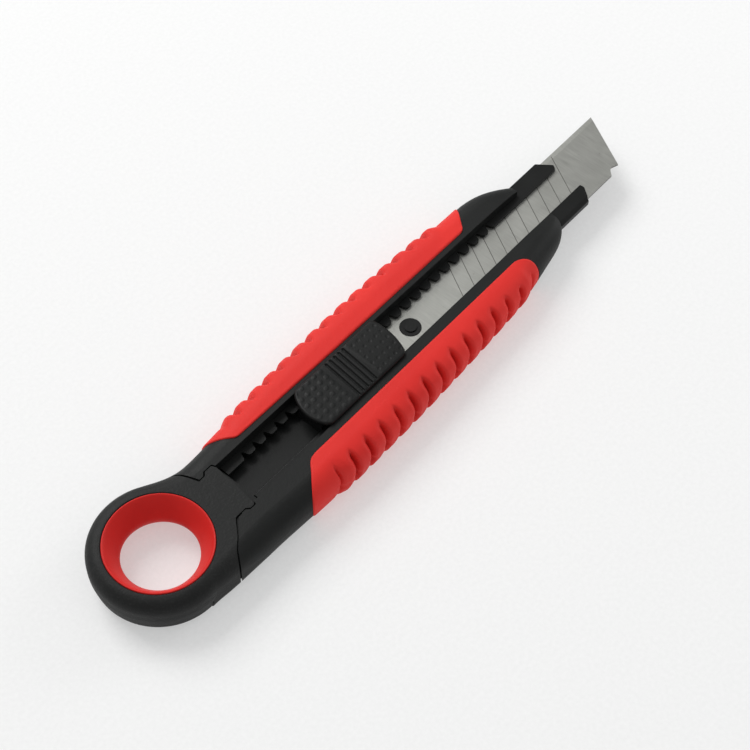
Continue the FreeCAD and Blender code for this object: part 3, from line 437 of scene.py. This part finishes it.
# For each grip:
#   side and column: its side of the middle line (1 is the cutting edge), its column in SECTIONS
#   inner, rear and front: its inner edge and its two slanted ends
#   first, pitch and count: the first notch, the length of a lobe and the number of lobes
#   crest, plain and notch: heights of the crests and of the smooth skin by lobe, and of a notch
#   flanks and power: the share of a lobe that each flank takes, and how blunt the flanks are
#   ease: over which lobes from an end the notches grow to full depth
#   crease: the depth of the creases and the lobes between which they run
#   late: by how many degrees the grooves start later, by lobe
GRIPS = {
    "far": {
        "side": 1.0,
        "column": 1,
        "inner": ((-58.2, -20.0, 32.3), (8.85, 8.2, 8.05)),
        "rear": slanted_end([(-58.2, 8.85), (-64.6, 15.2), (-71.0, 24.0)], 3.0, True),
        "front": slanted_end([(32.3, 8.05), (39.6, 17.0), (42.6, 24.0)], 3.0, False),
        "first": -57.65,
        "pitch": 5.873,
        "count": 15,
        "crest": ((0.0, 0.5, 2.0, 4.5, 8.0, 12.0, 14.5, 15.0),
                  (0.30, 1.26, 1.02, 0.88, 1.03, 1.12, 1.30, 0.30)),
        "plain": ((-3.0, 0.0, 15.0), (0.50, 0.36, 0.30)),
        "notch": -1.40,
        "flanks": (0.31, 0.45),
        "power": 2.3,
        "ease": (-0.3, 1.3),
        "crease": (0.30, 0.5, 14.5),
        "late": ((0.0, 15.0), (0.0, 0.0)),
    },
    "near": {
        "side": -1.0,
        "column": 2,
        "inner": ((-50.2, 37.4), (9.2, 9.2)),
        "rear": slanted_end([(-50.2, 9.2), (-59.5, 19.0), (-61.9, 24.0)], 5.0, True),
        "front": slanted_end([(37.4, 9.2), (38.8, 24.0), (38.8, 26.0)], 6.0, False),
        "first": -47.9,
        "pitch": 5.905,
        "count": 14,
        "crest": ((0.0, 0.5, 3.0, 6.0, 10.0, 12.5, 13.5, 14.0),
                  (0.30, 1.05, 1.02, 1.14, 1.05, 0.78, 0.72, 0.15)),
        "plain": ((0.0, 12.5, 14.5), (0.30, 0.30, 0.02)),
        "notch": -1.60,
        "flanks": (0.24, 0.46),
        "power": 2.7,
        "ease": (-0.6, 0.8),
        "crease": (0.70, -0.5, 13.5),
        "late": ((0.0, 9.0, 11.0, 12.0, 13.0), (0.0, 0.0, 9.0, 18.0, 30.0)),
    },
}


def rib_shape(grip, phase):
    """0 in the notches between two lobes, 1 on their crests; the rear flank is the steeper one."""
    rear, front = grip["flanks"]
    climb = 1.0 - (1.0 - np.clip(phase / rear, 0.0, 1.0)) ** grip["power"]
    fall = 1.0 - (1.0 - np.clip((1.0 - phase) / front, 0.0, 1.0)) ** grip["power"]
    return climb * fall


def grip_skin(grip, x, degrees):
    """How far the grip's skin stands over its section, at each X and angle down the side."""
    lean = spline_through(LEAN_ANGLES, LEANS, degrees)
    phase = (x + lean - grip["first"]) / grip["pitch"]
    plain = np.interp(phase, *grip["plain"])
    in_row = (phase > 0) & (phase < grip["count"])
    crest = np.where(in_row, np.interp(phase, *grip["crest"]), plain)
    # The notches grow shallow towards both ends of the row.
    near_end = np.minimum(phase, grip["count"] - phase)
    notch = plain + (grip["notch"] - plain) * smooth_step(*grip["ease"], near_end)
    ribbed = notch + (crest - notch) * rib_shape(grip, phase - np.floor(phase))
    ribbed = np.where(near_end > -RIB_MARGIN, ribbed, plain)
    # Smooth over the top: the grooves start part of the way down the upper rounding and fade
    # out below.
    late = np.interp(phase, *grip["late"])
    start, full = GROOVE_START
    groove = smooth_step(start + late, full + late * LATE_SHARE, degrees)
    groove = groove * (1 - GROOVE_EASE_SHARE * smooth_step(*GROOVE_EASE, degrees))
    groove = groove * (1 - smooth_step(*GROOVE_FADE, degrees))
    # A fine crease at the bottom of each notch.
    depth, first, last = grip["crease"]
    crease = depth * (1 - smooth_step(0.0, CREASE_HALF, np.abs(phase - np.round(phase))))
    crease = crease * np.where((phase > first) & (phase < last), 1.0, 0.0)
    start, full = CREASE_START
    crease = crease * smooth_step(start + late, full + late, degrees)
    crease = crease * (1 - smooth_step(*CREASE_FADE, degrees))
    plain = plain + (crest - plain) * smooth_step(*SWELL, near_end)
    side = plain + (ribbed - crease - plain) * groove
    level = TOP_LEVEL + (side - TOP_LEVEL) * smooth_step(*TOP_BLEND, degrees)
    return np.where(degrees > 90, side * (1 - smooth_step(*UNDER_BLEND, degrees)), level)


def grip_surface(grip, x, row, sink):
    """Y and Z of the grip's skin at each X along a row, sunk by a distance below its surface."""
    half = section_value(grip["column"], x)
    top = section_value(3, x)
    bottom = section_value(4, x)
    corner = section_value(5, x)
    inner = np.interp(x, *grip["inner"])
    flat_top, arc_top = GRIP_ROWS["flat_top"], GRIP_ROWS["arc_top"]
    wall, arc_low = GRIP_ROWS["wall"], GRIP_ROWS["arc_low"]
    # Where the row lies: on the flat top, the upper rounding, the wall, the lower rounding or
    # the underside.
    if row <= flat_top:
        share = row / flat_top
        y = inner + (half - corner - inner) * share
        z = top
        angle = np.zeros_like(x)
    elif row <= arc_top:
        angle = np.full_like(x, (row - flat_top) / (arc_top - flat_top) * math.pi / 2)
        y = half - corner + corner * np.sin(angle)
        z = top - corner + corner * np.cos(angle)
    elif row <= wall:
        share = (row - arc_top) / (wall - arc_top)
        angle = np.full_like(x, math.pi / 2)
        y = half
        z = (top - corner) * (1 - share) + (corner - bottom) * share
    elif row <= arc_low:
        angle = np.full_like(x, (1 + (row - wall) / (arc_low - wall)) * math.pi / 2)
        y = half - corner + corner * np.sin(angle)
        z = corner - bottom + corner * np.cos(angle)
    else:
        share = (row - arc_low) / (GRIP_ROWS["count"] - 1 - arc_low)
        angle = np.full_like(x, math.pi)
        y = (half - corner) * (1 - share) + inner * share
        z = -bottom
    level = grip_skin(grip, x, np.degrees(angle)) - sink
    return y + np.sin(angle) * level, z + np.cos(angle) * level


def grip_row(grip, row, along):
    """X at each step along a row, between the slanted ends, and the distance to the border."""
    ends = np.array(END_GUESS)
    # The ends depend on the skin's Y and the skin's Y on them, so they are closed in on by halves.
    for _ in range(END_STEPS):
        y, _z = grip_surface(grip, ends, row, 0.0)
        rear = grip["rear"](y[:1])[0] + GRIP_EDGE
        front = grip["front"](y[1:])[0] - GRIP_EDGE
        ends = (ends + np.array([rear, front])) / 2
    x = ends[0] + (ends[1] - ends[0]) * along
    gap = np.minimum(x - ends[0], ends[1] - x) * SLANT_SHARE
    if row <= GRIP_ROWS["arc_top"]:
        y, _z = grip_surface(grip, x, row, 0.0)
        gap = np.minimum(gap, y - np.interp(x, *grip["inner"]) - GRIP_EDGE)
    return x, gap


def border_drop(gap, radius):
    """How far a surface rolls down at a distance from its border."""
    roll = np.clip(radius - gap, 0.0, radius)
    return radius - np.sqrt(np.maximum(radius ** 2 - roll ** 2, 0.0))


def make_grip(name, grip, nodes):
    """A rubber shell over the core, ribbed down its side, with borders rolled into the recess."""
    along = spaced(GRIP_COLUMNS)
    count = GRIP_ROWS["count"]
    outer = np.zeros((len(along), count, 3))
    skirts = [np.zeros_like(outer), np.zeros_like(outer)]
    for row in range(count):
        x, gap = grip_row(grip, row, along)
        drop = border_drop(gap, BORDER_ROUND) * BORDER_SHARE
        inner = np.interp(x, *grip["inner"]) + GRIP_EDGE
        layers = ((outer, 0.0, inner), (skirts[0], SKIRT_SINKS[0], inner),
                  (skirts[1], SKIRT_SINKS[1], CORE_SIDE))
        for layer, sink, inmost in layers:
            y, z = grip_surface(grip, x, row, drop + sink)
            layer[:, row, 0] = x
            layer[:, row, 1] = np.maximum(y, inmost) * grip["side"]
            layer[:, row, 2] = np.maximum(z, GRIP_UNDER)
    flip = grip["side"] > 0
    faces = grid_faces(len(along), count, flip=flip)
    loop = border_of(len(along), count)
    points = [outer.reshape(-1, 3)]
    start = len(points[0])
    ring = loop
    for layer in skirts:
        points.append(layer.reshape(-1, 3)[loop])
        below = list(range(start, start + len(loop)))
        for k in range(len(loop)):
            following = (k + 1) % len(loop)
            quad = (ring[k], ring[following], below[following], below[k])
            faces.append(quad if flip else quad[::-1])
        ring = below
        start += len(loop)
    # Close the inside: a wall between the two inner edges, and the two ends.
    place = dict(zip(loop, ring))
    for i in range(len(along) - 1):
        quad = (place[i * count], place[(i + 1) * count],
                place[(i + 2) * count - 1], place[(i + 1) * count - 1])
        faces.append(quad if flip else quad[::-1])
    rear_end = tuple(place[j] for j in range(count))
    front_end = tuple(place[(len(along) - 1) * count + j] for j in range(count))
    faces.append(rear_end if flip else rear_end[::-1])
    faces.append(front_end[::-1] if flip else front_end)
    make_mesh(name, np.vstack(points), faces, grip_red, "handle", nodes)


make_grip("grip_far_rubber", GRIPS["far"], ["grip_far"])
make_grip("grip_near_rubber", GRIPS["near"], ["grip_near"])


# ---------------------------------------------------------------- ring liner

RING_CENTRE = (-93.1, 2.36)
LINER_STEPS = 160
# Radius and height round the liner's section, starting at the outside under the upper lip.
LINER_SECTION = [
    (14.27, 1.2), (14.27, 2.6), (14.27, 3.45), (14.24, 3.86), (14.14, 4.08), (13.96, 4.14),
    (13.76, 4.02), (13.40, 3.60), (12.86, 2.85), (12.24, 1.90), (11.60, 0.85), (11.00, -0.20),
    (10.48, -1.10), (10.16, -1.80), (10.05, -2.40), (10.12, -3.05), (10.42, -3.90),
    (10.95, -4.9), (11.60, -5.9), (12.35, -7.0), (12.9, -7.85), (13.22, -8.35), (13.50, -8.62),
    (13.80, -8.58), (14.02, -8.25), (14.15, -7.6), (14.22, -6.2),
]


def make_liner():
    """The soft hourglass liner, turned about the ring's axis."""
    section = np.array(LINER_SECTION)
    # A closed curve through the section's points, rounded by two passes of corner cutting.
    for _ in range(2):
        following = np.roll(section, -1, axis=0)
        cut_section = np.empty((len(section) * 2, 2))
        cut_section[0::2] = section * 0.75 + following * 0.25
        cut_section[1::2] = section * 0.25 + following * 0.75
        section = cut_section
    points = []
    for i in range(LINER_STEPS):
        turn = 2 * math.pi * i / LINER_STEPS
        for radius, height in section:
            x = RING_CENTRE[0] + radius * math.cos(turn)
            y = RING_CENTRE[1] + radius * math.sin(turn)
            points.append((x, y, height))
    faces = grid_faces(LINER_STEPS, len(section), wrap=True)
    make_mesh("ring_liner_rubber", points, faces, liner_red, "cap", ["ring_liner"])


make_liner()


# ---------------------------------------------------------------- thumb pad

PAD_HALF = 7.1
PAD_TOP = 5.3
PAD_UNDER = 4.22
PAD_CORNER = 1.5
PAD_BORDER = 0.75
PAD_BORDER_SHARE = 0.95
PAD_CROWN = 0.10
# Each end of the pad: its X at the sides, how far it bulges at the middle line, and how far it
# leans forward for each millimetre towards the cutting edge.
PAD_REAR = (-39.15, -2.5, 0.09)
PAD_FRONT = (-8.6, 1.2, 0.14)
# The same lean for the columns of the texture.
PAD_SKEW = 0.09
# The middle of the pad lies lower by this much, between these two ramps.
MIDDLE_SINK = 0.10
MIDDLE_REAR = (-30.5, -28.5)
MIDDLE_FRONT = (-19.6, -18.6)
GROOVES = [-20.55 - 1.65 * i for i in range(5)]
GROOVE_DEPTH = 0.55
GROOVE_WALL = (0.10, 0.44)
# Distances from the border over which the grooves, the scales and the pits fade in.
GROOVE_SIDE = (0.25, 0.8)
SCALE_SIDE = (0.35, 0.9)
PIT_SIDE = (0.3, 0.8)
SCALE_ROWS = [-5.9 + 2.36 * j for j in range(6)]
SCALE_COLUMNS = [-39.6 + 2.42 * i for i in range(5)]
SCALE_HEIGHT = 0.13
SCALE_LONG = 0.95
SCALE_WIDE = 0.85
SCALE_WALL = (0.35, 1.0)
SCALE_REAR_SHARE = 0.35
PIT_ROWS = [-5.0 + 2.5 * j for j in range(5)]
PIT_COLUMNS = [-18.0 + 2.15 * i for i in range(5)]
PIT_DEPTH = 0.07
PIT_WALL = (0.18, 0.60)
# The grid of the pad's top: across as shares of half its width, along as shares of its length.
PAD_ACROSS = [(-1.0, -0.9, 8), (-0.9, 0.9, 96), (0.9, 1.0, 8)]
PAD_ALONG = [(0.0, 0.03, 8), (0.03, 0.97, 230), (0.97, 1.0, 8)]


def bulging(y, half, x_at_side, bulge):
    """A shallow arc across the pad that bulges outward at the middle line."""
    return x_at_side + bulge * (1 - (y / half) ** 2)


def pad_outline(y):
    """The rear and front ends of the pad at y, with rounded corners."""
    reach = np.clip((np.abs(y) - (PAD_HALF - PAD_CORNER)) / PAD_CORNER, 0.0, 1.0)
    shrink = PAD_CORNER * (1 - np.sqrt(np.maximum(1 - reach ** 2, 0.0)))
    rear = bulging(y, PAD_HALF, *PAD_REAR[:2]) + PAD_REAR[2] * y + shrink
    front = bulging(y, PAD_HALF, *PAD_FRONT[:2]) + PAD_FRONT[2] * y - shrink
    return rear, front


def pad_height(x, y, gap):
    """The pad's top: slightly crowned, rolled at its border, with grooves, scales and pits."""
    z = PAD_TOP - PAD_CROWN * (y / PAD_HALF) ** 2
    # The middle with the grooves lies a little lower than both textured ends.
    z = z - MIDDLE_SINK * smooth_step(*MIDDLE_REAR, x) * (1 - smooth_step(*MIDDLE_FRONT, x))
    z = z - border_drop(gap, PAD_BORDER) * PAD_BORDER_SHARE
    side_fade = smooth_step(*GROOVE_SIDE, PAD_HALF - np.abs(y))
    along = x - PAD_SKEW * y
    for centre in GROOVES:
        away = np.abs(along - centre)
        z = z - GROOVE_DEPTH * side_fade * (1 - smooth_step(*GROOVE_WALL, away))
    scale_fade = smooth_step(*SCALE_SIDE, gap)
    for cy in SCALE_ROWS:
        for cx in SCALE_COLUMNS:
            dx = along - cx
            dy = y - cy
            # A scale: it rises gently from its rear and ends in a rounded, steep front.
            reach = np.hypot(dx / SCALE_LONG, dy / SCALE_WIDE)
            body = 1 - smooth_step(*SCALE_WALL, reach)
            slope = np.clip((dx + SCALE_LONG) / (2 * SCALE_LONG), 0.0, 1.0)
            rise = SCALE_REAR_SHARE + (1 - SCALE_REAR_SHARE) * slope
            z = z + SCALE_HEIGHT * body * rise * scale_fade
    pit_fade = smooth_step(*PIT_SIDE, gap)
    for cy in PIT_ROWS:
        for cx in PIT_COLUMNS:
            reach = np.hypot(along - cx, y - cy)
            z = z - PIT_DEPTH * (1 - smooth_step(*PIT_WALL, reach)) * pit_fade
    return z


def make_pad():
    """The thumb pad: its textured top, then the block and legs that reach into the carrier."""
    across = spaced(PAD_ACROSS) * PAD_HALF
    along = spaced(PAD_ALONG)
    points = np.zeros((len(along), len(across), 3))
    for j, y in enumerate(across):
        rear, front = pad_outline(np.array(y))
        x = rear + (front - rear) * along
        gap = np.minimum(np.minimum(x - rear, front - x), PAD_HALF - abs(y))
        points[:, j, 0] = x
        points[:, j, 1] = y
        points[:, j, 2] = pad_height(x, np.full_like(x, y), gap)
    under = points.copy()
    under[:, :, 2] = PAD_UNDER
    faces = grid_faces(len(along), len(across))
    count = len(along) * len(across)
    faces += grid_faces(len(along), len(across), start=count, flip=True)
    loop = border_of(len(along), len(across))
    for a, b in zip(loop, loop[1:] + loop[:1]):
        faces.append((a, a + count, b + count, b))
    everything = [points.reshape(-1, 3), under.reshape(-1, 3)]
    start = count * 2
    for solid, solid_faces in pad_foot():
        everything.append(np.array(solid))
        faces += [tuple(start + i for i in face) for face in solid_faces]
        start += len(solid)
    make_mesh("thumb_pad_top", np.vstack(everything), faces, pad_black, "pad",
              ["thumb_pad"])


def upright(outline, low, high, chamfer):
    """A prism over an outline with its upper and lower edges broken by a chamfer."""
    outline = np.array(outline, dtype=float)
    middle = outline.mean(axis=0)
    size = np.abs(outline - middle).max()
    shrunk = middle + (outline - middle) * (1 - chamfer / size)
    rings = [(shrunk, low), (outline, low + chamfer), (outline, high - chamfer), (shrunk, high)]
    points = [(x, y, z) for ring, z in rings for x, y in ring]
    n = len(outline)
    faces = [tuple(range(n - 1, -1, -1)), tuple(range(3 * n, 4 * n))]
    for k in range(3):
        for i in range(n):
            j = (i + 1) % n
            faces.append((k * n + i, k * n + j, (k + 1) * n + j, (k + 1) * n + i))
    return points, faces


# The foot: half the block's width, the height at which it starts, its chamfer, and the X of its
# rear and front sides with their bulge.
FOOT_HALF = 5.5
FOOT_LOW = 2.36
FOOT_CHAMFER = 0.15
FOOT_REAR = (-39.2, -2.0)
FOOT_FRONT = (-9.6, 1.2)
# The legs: their middles and half length, then half width, lower and upper end and chamfer of a
# leg and of its barb.
LEG_MIDDLES = (-35.2, -18.0)
LEG_HALF = 1.7
LEG = (1.3, 0.5, 2.4, 0.05)
BARB = (1.7, -1.2, 0.55, 0.25)


def pad_foot():
    """The block between the rims, and two barbed legs."""
    ys = np.linspace(-FOOT_HALF, FOOT_HALF, 13)
    rear_side = [(bulging(y, FOOT_HALF, *FOOT_REAR), y) for y in ys[::-1]]
    front_side = [(bulging(y, FOOT_HALF, *FOOT_FRONT), y) for y in ys]
    parts = [upright(front_side + rear_side, FOOT_LOW, PAD_UNDER, FOOT_CHAMFER)]
    for middle in LEG_MIDDLES:
        rear, front = middle - LEG_HALF, middle + LEG_HALF
        for half, low, high, chamfer in (LEG, BARB):
            outline = [(rear, -half), (front, -half), (front, half), (rear, half)]
            parts.append(upright(outline, low, high, chamfer))
    return parts


make_pad()


# ---------------------------------------------------------------- floor, light and camera

def pale_floor_material():
    """A white table that also glows a little from below, so that shadows on it stay pale."""
    material, tree, shader = new_material("pale_floor", level=0.1)
    fine = noise(tree, 900.0, 3.0, 0.6, 0)
    pale = ramp(tree, fine, [(0.3, (0.500, 0.502, 0.502)), (0.7, (0.520, 0.522, 0.522))], -700, 0)
    tree.links.new(pale, shader.inputs["Base Color"])
    tree.links.new(pale, shader.inputs["Emission Color"])
    shader.inputs["Emission Strength"].default_value = 0.80
    shader.inputs["Roughness"].default_value = 0.9
    return material


FLOOR_HALF = 3.0
floor_corners = [(-FLOOR_HALF, -FLOOR_HALF, 0), (FLOOR_HALF, -FLOOR_HALF, 0),
                 (FLOOR_HALF, FLOOR_HALF, 0), (-FLOOR_HALF, FLOOR_HALF, 0)]
floor_mesh = bpy.data.meshes.new("floor")
floor_mesh.from_pydata(floor_corners, [], [(0, 1, 2, 3)])
floor_mesh.materials.append(pale_floor_material())
floor = bpy.data.objects.new("floor", floor_mesh)
# Just below the knife's underside, so that the two faces never share a plane.
floor.location.z = -0.0001
bpy.context.scene.collection.objects.link(floor)

CAMERA_PLACE = Vector(to_row((-231.4, -182.6, 411.7)))
CAMERA_TARGET = Vector(to_row((-18.0, -3.3, 0.0)))
CAMERA_ROLL = math.radians(1.07)
CAMERA_LENS = 90.3
CAMERA_SENSOR = 36.0
camera_data = bpy.data.cameras.new("camera")
camera_data.lens = CAMERA_LENS
camera_data.sensor_width = CAMERA_SENSOR
camera_data.clip_start = 0.01
camera = bpy.data.objects.new("camera", camera_data)
bpy.context.scene.collection.objects.link(camera)
camera.location = CAMERA_PLACE
camera.rotation_mode = "QUATERNION"
look = (CAMERA_TARGET - CAMERA_PLACE).to_track_quat("-Z", "Y")
camera.rotation_quaternion = look @ Quaternion((0, 0, 1), CAMERA_ROLL)
bpy.context.scene.camera = camera


def area_light(name, place, target, size, power, colour):
    """A soft light of a size in metres, turned from its place to its target."""
    data = bpy.data.lights.new(name, "AREA")
    data.shape = "RECTANGLE"
    data.size, data.size_y = size
    data.energy = power
    data.color = colour
    item = bpy.data.objects.new(name, data)
    item.location = place
    item.rotation_mode = "QUATERNION"
    item.rotation_quaternion = (Vector(target) - Vector(place)).to_track_quat("-Z", "Y")
    bpy.context.scene.collection.objects.link(item)


# The main softbox hangs beyond the knife, seen from the camera, a little to the left.
area_light("softbox", (0.08, 0.98, 1.02), (0.0, 0.0, 0.0), size=(0.8, 0.8), power=14.0,
           colour=(1.0, 0.995, 0.985))
# A weak light low on the right picks out the nose's near side.
area_light("side_fill", (0.75, -0.20, 0.28), (0.04, 0.0, 0.0), size=(0.4, 0.4), power=1.6,
           colour=grey(1.0))

world = bpy.data.worlds.new("studio")
world.use_nodes = True
bpy.context.scene.world = world
tree = world.node_tree
background = tree.nodes["Background"]
direction = tree.nodes.new("ShaderNodeTexCoord")
split = tree.nodes.new("ShaderNodeSeparateXYZ")
tree.links.new(direction.outputs["Generated"], split.inputs["Vector"])
# A white tent, brighter overhead than at the horizon.
sky = ramp(tree, split.outputs["Z"], [(0.0, grey(0.40)), (1.0, grey(0.52))], -300, 0)
tree.links.new(sky, background.inputs["Color"])
background.inputs["Strength"].default_value = 1.0
bpy.context.scene.view_settings.view_transform = "Standard"
